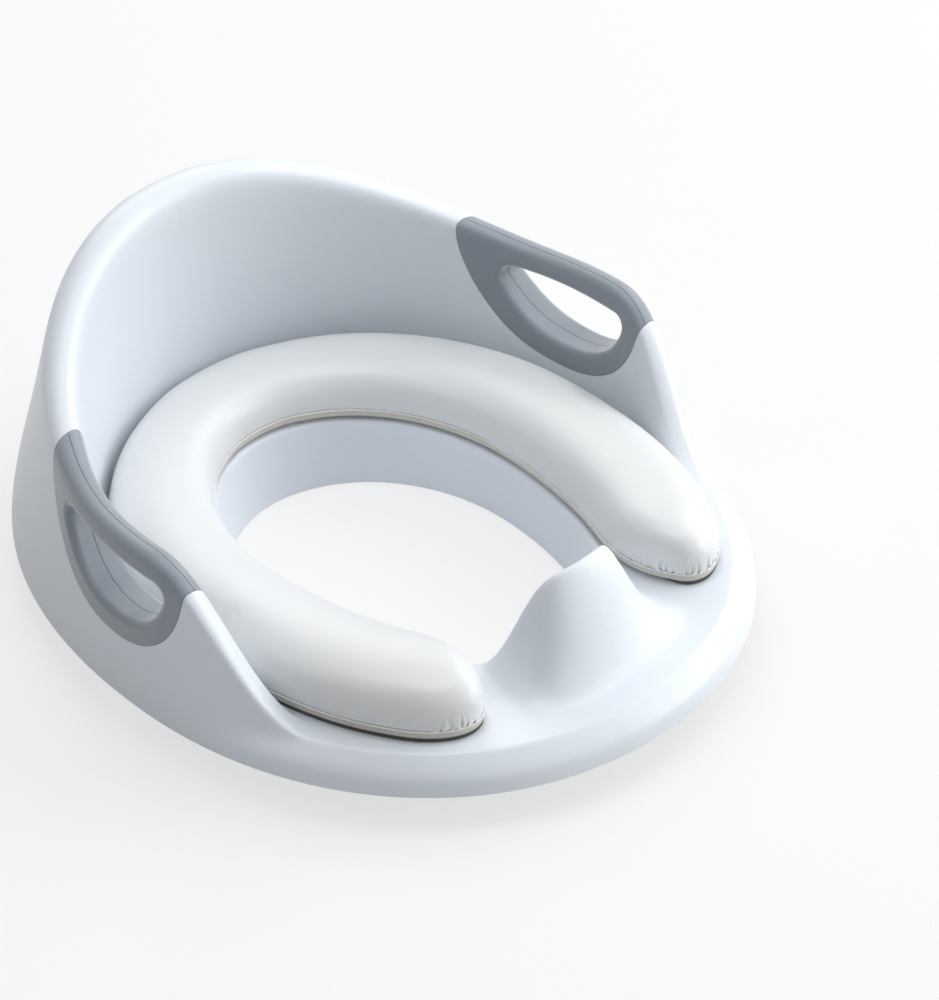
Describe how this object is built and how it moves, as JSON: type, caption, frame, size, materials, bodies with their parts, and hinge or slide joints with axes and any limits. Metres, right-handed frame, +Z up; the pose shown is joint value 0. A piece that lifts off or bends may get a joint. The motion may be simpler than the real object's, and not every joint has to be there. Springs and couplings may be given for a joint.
{
  "type": "potty training seat",
  "caption": "Child's toilet training seat: oval white shell with curved backrest, splash guard, side grip handles, horseshoe cushion and locating collar below.",
  "frame": {"origin": "centre of the bounding box at the height of the collar's bottom rim, on which the seat stands", "axes": "+Z up, +Y towards the backrest, -Y towards the splash guard, +X towards the child's left hand as the child sits facing -Y; the seat is the same on both sides of X = 0"},
  "size_m": [0.3228, 0.394, 0.1604],
  "materials": {
    "shell_white": "cool white moulded polypropylene, smooth satin gloss",
    "grip_grey": "bluish mid grey soft-touch plastic, fine matte grain",
    "pad_skin": "soft white polyurethane skin over foam, smooth low gloss",
    "plate_white": "off-white plastic base plate",
    "strip_rubber": "grey soft rubber, matte"
  },
  "bodies": {
    "root": {"seat_shell": "shell_white", "handle_right_inner": "grip_grey", "handle_right_outer": "grip_grey", "handle_left_inner": "grip_grey", "handle_left_outer": "grip_grey", "cushion_pad": "pad_skin", "cushion_base_plate": "plate_white", "grip_strip_front": "strip_rubber", "grip_strip_back": "strip_rubber", "grip_strip_right": "strip_rubber", "grip_strip_left": "strip_rubber"}
  },
  "joints": []
}
